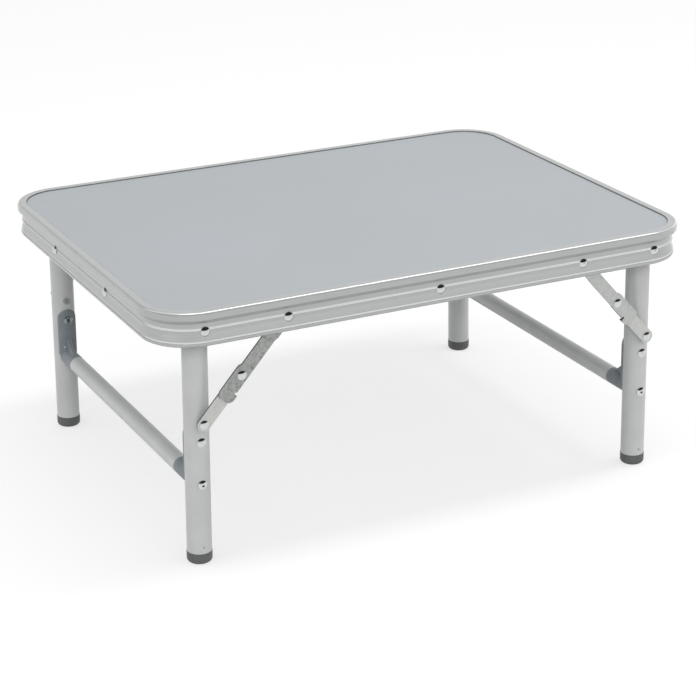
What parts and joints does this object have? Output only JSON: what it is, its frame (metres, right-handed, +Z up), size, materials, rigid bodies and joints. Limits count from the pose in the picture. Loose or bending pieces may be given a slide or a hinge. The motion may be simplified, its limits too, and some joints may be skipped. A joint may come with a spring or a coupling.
{
  "type": "folding table",
  "caption": "Low folding camp table with a flat top in a bent aluminium edge rail, tube leg frames that fold flat under it, and hinged link stays that lock the legs open.",
  "frame": {"origin": "on the floor under the middle of the table, legs open", "axes": "+X along the long side, +Y from the front to the back, +Z up"},
  "size_m": [0.6, 0.45, 0.2705],
  "materials": {
    "panel": "matt grey laminated fibreboard",
    "rail": "satin anodised",
    "tube": "satin drawn tube",
    "joiner": "mill finish",
    "link": "zinc plated sheet steel",
    "rivet": "bright plated",
    "connector": "moulded blue-grey plastic",
    "foot": "moulded dark grey plastic",
    "spacer": "natural nylon"
  },
  "bodies": {
    "tabletop": {"tabletop_panel": "panel", "edge_frame_front": "rail", "edge_frame_back": "rail", "frame_joiner_left": "joiner", "frame_joiner_right": "joiner", "centre_strap": "joiner", "joiner_rivets": "rivet", "strap_rivets": "rivet", "leg_pivot_rivets": "rivet", "leg_pivot_spacers": "spacer", "stay_pivot_rivets": "rivet", "stay_spacers": "spacer"},
    "left_leg_frame": {"leg_tube_front_left": "tube", "foot_front_left": "foot", "connector_front_left": "connector", "leg_tube_back_left": "tube", "foot_back_left": "foot", "connector_back_left": "connector", "crossbar_left": "tube", "connector_rivets_left": "rivet", "blind_rivets_left": "rivet", "stay_leg_pins_left": "rivet"},
    "right_leg_frame": {"leg_tube_front_right": "tube", "foot_front_right": "foot", "connector_front_right": "connector", "leg_tube_back_right": "tube", "foot_back_right": "foot", "connector_back_right": "connector", "crossbar_right": "tube", "connector_rivets_right": "rivet", "blind_rivets_right": "rivet", "stay_leg_pins_right": "rivet"},
    "stay_upper_front_left": {"stay_upper_link_front_left": "link", "stay_middle_rivet_front_left": "rivet"},
    "stay_lower_front_left": {"stay_lower_link_front_left": "link", "stay_lower_rivet_front_left": "rivet"},
    "stay_upper_front_right": {"stay_upper_link_front_right": "link", "stay_middle_rivet_front_right": "rivet"},
    "stay_lower_front_right": {"stay_lower_link_front_right": "link", "stay_lower_rivet_front_right": "rivet"},
    "stay_upper_back_left": {"stay_upper_link_back_left": "link", "stay_middle_rivet_back_left": "rivet"},
    "stay_lower_back_left": {"stay_lower_link_back_left": "link", "stay_lower_rivet_back_left": "rivet"},
    "stay_upper_back_right": {"stay_upper_link_back_right": "link", "stay_middle_rivet_back_right": "rivet"},
    "stay_lower_back_right": {"stay_lower_link_back_right": "link", "stay_lower_rivet_back_right": "rivet"}
  },
  "joints": [
    {"name": "left_leg_fold", "type": "hinge", "parent": "tabletop", "child": "left_leg_frame", "pos_m": [-0.2508, 0, 0.25], "axis": [0, -1, 0], "range_deg": [0, 90.7]},
    {"name": "right_leg_fold", "type": "hinge", "parent": "tabletop", "child": "right_leg_frame", "pos_m": [0.2508, 0, 0.25], "axis": [0, 1, 0], "range_deg": [0, 90.7]},
    {"name": "stay_upper_fold_front_left", "type": "hinge", "parent": "tabletop", "child": "stay_upper_front_left", "pos_m": [-0.1649, -0.2043, 0.25], "axis": [0, -1, 0], "range_deg": [0, 131.64]},
    {"name": "stay_lower_fold_front_left", "type": "hinge", "parent": "stay_upper_front_left", "child": "stay_lower_front_left", "pos_m": [-0.21247, -0.2043, 0.19648], "axis": [0, 1, 0], "range_deg": [0, 180.01]},
    {"name": "stay_upper_fold_front_right", "type": "hinge", "parent": "tabletop", "child": "stay_upper_front_right", "pos_m": [0.1649, -0.2043, 0.25], "axis": [0, 1, 0], "range_deg": [0, 131.64]},
    {"name": "stay_lower_fold_front_right", "type": "hinge", "parent": "stay_upper_front_right", "child": "stay_lower_front_right", "pos_m": [0.21247, -0.2043, 0.19648], "axis": [0, -1, 0], "range_deg": [0, 180.01]},
    {"name": "stay_upper_fold_back_left", "type": "hinge", "parent": "tabletop", "child": "stay_upper_back_left", "pos_m": [-0.1649, 0.2043, 0.25], "axis": [0, -1, 0], "range_deg": [0, 131.64]},
    {"name": "stay_lower_fold_back_left", "type": "hinge", "parent": "stay_upper_back_left", "child": "stay_lower_back_left", "pos_m": [-0.21247, 0.2043, 0.19648], "axis": [0, 1, 0], "range_deg": [0, 180.01]},
    {"name": "stay_upper_fold_back_right", "type": "hinge", "parent": "tabletop", "child": "stay_upper_back_right", "pos_m": [0.1649, 0.2043, 0.25], "axis": [0, 1, 0], "range_deg": [0, 131.64]},
    {"name": "stay_lower_fold_back_right", "type": "hinge", "parent": "stay_upper_back_right", "child": "stay_lower_back_right", "pos_m": [0.21247, 0.2043, 0.19648], "axis": [0, -1, 0], "range_deg": [0, 180.01]}
  ],
  "couplings": [
    {"joint": "stay_upper_fold_front_left", "follows": "left_leg_fold", "ratio": 1.4513},
    {"joint": "stay_lower_fold_front_left", "follows": "left_leg_fold", "ratio": 1.9846},
    {"joint": "stay_upper_fold_front_right", "follows": "right_leg_fold", "ratio": 1.4513},
    {"joint": "stay_lower_fold_front_right", "follows": "right_leg_fold", "ratio": 1.9846},
    {"joint": "stay_upper_fold_back_left", "follows": "left_leg_fold", "ratio": 1.4513},
    {"joint": "stay_lower_fold_back_left", "follows": "left_leg_fold", "ratio": 1.9846},
    {"joint": "stay_upper_fold_back_right", "follows": "right_leg_fold", "ratio": 1.4513},
    {"joint": "stay_lower_fold_back_right", "follows": "right_leg_fold", "ratio": 1.9846}
  ]
}
